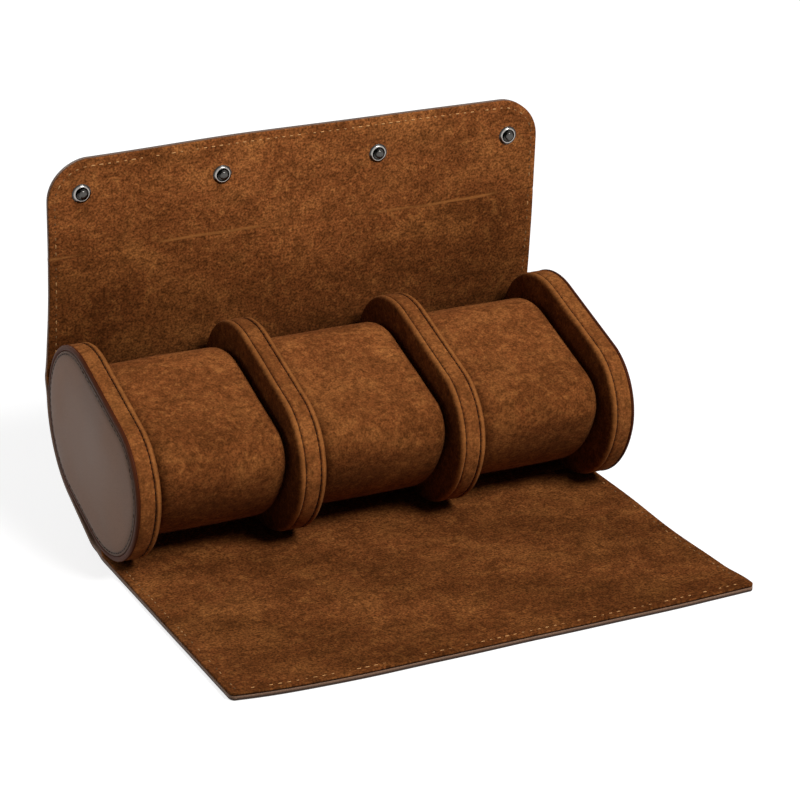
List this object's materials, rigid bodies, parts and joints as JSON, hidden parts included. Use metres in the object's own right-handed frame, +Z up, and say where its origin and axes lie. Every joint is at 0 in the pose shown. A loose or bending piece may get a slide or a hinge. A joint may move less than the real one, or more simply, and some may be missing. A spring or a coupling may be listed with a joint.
{
  "type": "watch travel case",
  "caption": "Travel case for wrist watches: pillows in padded bays, wrapped in a leather sheet whose back and front flaps fold over and close with press studs. Shown open.",
  "frame": {"origin": "on the table, under the middle of the body's lowest line, where the base's foot rests", "axes": "+X along the case to its right end, +Z up, -Y towards the open front flap"},
  "size_m": [0.214, 0.1936, 0.1515],
  "materials": {
    "wrap_leather": "satin",
    "suede": "matte",
    "cap_leather": "satin",
    "piping_leather": "gloss",
    "board": "matte",
    "foam": "matte",
    "snap_nickel": "polished"
  },
  "bodies": {
    "case_body": {"base_leather": "wrap_leather", "base_lining": "suede", "left_cap_panel": "cap_leather", "left_cap_piping": "piping_leather", "left_cap_board": "board", "left_cap_band": "suede", "left_cap_face": "suede", "right_cap_panel": "cap_leather", "right_cap_piping": "piping_leather", "right_cap_board": "board", "right_cap_band": "suede", "right_cap_face": "suede", "left_divider_board": "board", "left_divider_band": "suede", "left_divider_outer_face": "suede", "left_divider_inner_face": "suede", "right_divider_board": "board", "right_divider_band": "suede", "right_divider_outer_face": "suede", "right_divider_inner_face": "suede"},
    "back_flap_1": {"back_leather_1": "wrap_leather", "back_lining_1": "suede"},
    "back_flap_2": {"back_leather_2": "wrap_leather", "back_lining_2": "suede"},
    "back_flap_3": {"back_leather_3": "wrap_leather", "back_lining_3": "suede"},
    "back_flap_4": {"back_leather_4": "wrap_leather", "back_lining_4": "suede", "snap_studs": "snap_nickel", "snap_stud_posts": "snap_nickel"},
    "front_flap_1": {"front_leather_1": "wrap_leather", "front_lining_1": "suede"},
    "front_flap_2": {"front_leather_2": "wrap_leather", "front_lining_2": "suede"},
    "front_flap_3": {"front_leather_3": "wrap_leather", "front_lining_3": "suede"},
    "front_flap_4": {"front_leather_4": "wrap_leather", "front_lining_4": "suede"},
    "front_flap_5": {"front_leather_5": "wrap_leather", "front_lining_5": "suede"},
    "front_flap_6": {"front_leather_6": "wrap_leather", "front_lining_6": "suede"},
    "front_flap_7": {"front_leather_7": "wrap_leather", "front_lining_7": "suede", "snap_sockets": "snap_nickel", "snap_springs": "snap_nickel", "snap_socket_posts": "snap_nickel"},
    "left_pillow": {"left_pillow_cover": "suede", "left_pillow_core": "foam"},
    "middle_pillow": {"middle_pillow_cover": "suede", "middle_pillow_core": "foam"},
    "right_pillow": {"right_pillow_cover": "suede", "right_pillow_core": "foam"}
  },
  "joints": [
    {"name": "back_fold_1", "type": "hinge", "parent": "case_body", "child": "back_flap_1", "pos_m": [0, 0.05668, 0.0639], "axis": [-1, 0, 0], "range_deg": [-31.5, 8]},
    {"name": "back_fold_2", "type": "hinge", "parent": "back_flap_1", "child": "back_flap_2", "pos_m": [0, 0.05407, 0.0787], "axis": [-1, 0, 0], "range_deg": [-25.01, 6.36]},
    {"name": "back_fold_3", "type": "hinge", "parent": "back_flap_2", "child": "back_flap_3", "pos_m": [0, 0.05211, 0.09361], "axis": [-1, 0, 0], "range_deg": [-25.01, 6.36]},
    {"name": "back_crease", "type": "hinge", "parent": "back_flap_3", "child": "back_flap_4", "pos_m": [0, 0.0508, 0.10859], "axis": [-1, 0, 0], "range_deg": [-23.51, 5.98]},
    {"name": "front_fold_1", "type": "hinge", "parent": "case_body", "child": "front_flap_1", "pos_m": [0, -0.00629, 0.003], "axis": [1, 0, 0], "range_deg": [-17.75, 0]},
    {"name": "front_fold_2", "type": "hinge", "parent": "front_flap_1", "child": "front_flap_2", "pos_m": [0, -0.01888, 0.003], "axis": [1, 0, 0], "range_deg": [-17.75, 0]},
    {"name": "front_fold_3", "type": "hinge", "parent": "front_flap_2", "child": "front_flap_3", "pos_m": [0, -0.03146, 0.003], "axis": [1, 0, 0], "range_deg": [-17.75, 0]},
    {"name": "front_fold_4", "type": "hinge", "parent": "front_flap_3", "child": "front_flap_4", "pos_m": [0, -0.04405, 0.003], "axis": [1, 0, 0], "range_deg": [-17.75, 0]},
    {"name": "front_fold_5", "type": "hinge", "parent": "front_flap_4", "child": "front_flap_5", "pos_m": [0, -0.05839, 0.003], "axis": [1, 0, 0], "range_deg": [-30.01, 0]},
    {"name": "front_fold_6", "type": "hinge", "parent": "front_flap_5", "child": "front_flap_6", "pos_m": [0, -0.07248, 0.003], "axis": [1, 0, 0], "range_deg": [-30.01, 0]},
    {"name": "front_fold_7", "type": "hinge", "parent": "front_flap_6", "child": "front_flap_7", "pos_m": [0, -0.08658, 0.003], "axis": [1, 0, 0], "range_deg": [-30.01, 0]},
    {"name": "left_pillow_lift", "type": "slide", "parent": "case_body", "child": "left_pillow", "axis": [0, -0.3256, 0.9455], "range_m": [0, 0.075]},
    {"name": "middle_pillow_lift", "type": "slide", "parent": "case_body", "child": "middle_pillow", "axis": [0, -0.3256, 0.9455], "range_m": [0, 0.075]},
    {"name": "right_pillow_lift", "type": "slide", "parent": "case_body", "child": "right_pillow", "axis": [0, -0.3256, 0.9455], "range_m": [0, 0.075]}
  ],
  "couplings": [
    {"joint": "back_fold_2", "follows": "back_fold_1", "ratio": 0.79365},
    {"joint": "back_fold_3", "follows": "back_fold_1", "ratio": 0.79365},
    {"joint": "back_crease", "follows": "back_fold_1", "ratio": 0.74603},
    {"joint": "front_fold_2", "follows": "front_fold_1", "ratio": 1},
    {"joint": "front_fold_3", "follows": "front_fold_1", "ratio": 1},
    {"joint": "front_fold_4", "follows": "front_fold_1", "ratio": 1},
    {"joint": "front_fold_5", "follows": "front_fold_1", "ratio": 1.6901},
    {"joint": "front_fold_6", "follows": "front_fold_1", "ratio": 1.6901},
    {"joint": "front_fold_7", "follows": "front_fold_1", "ratio": 1.6901}
  ]
}
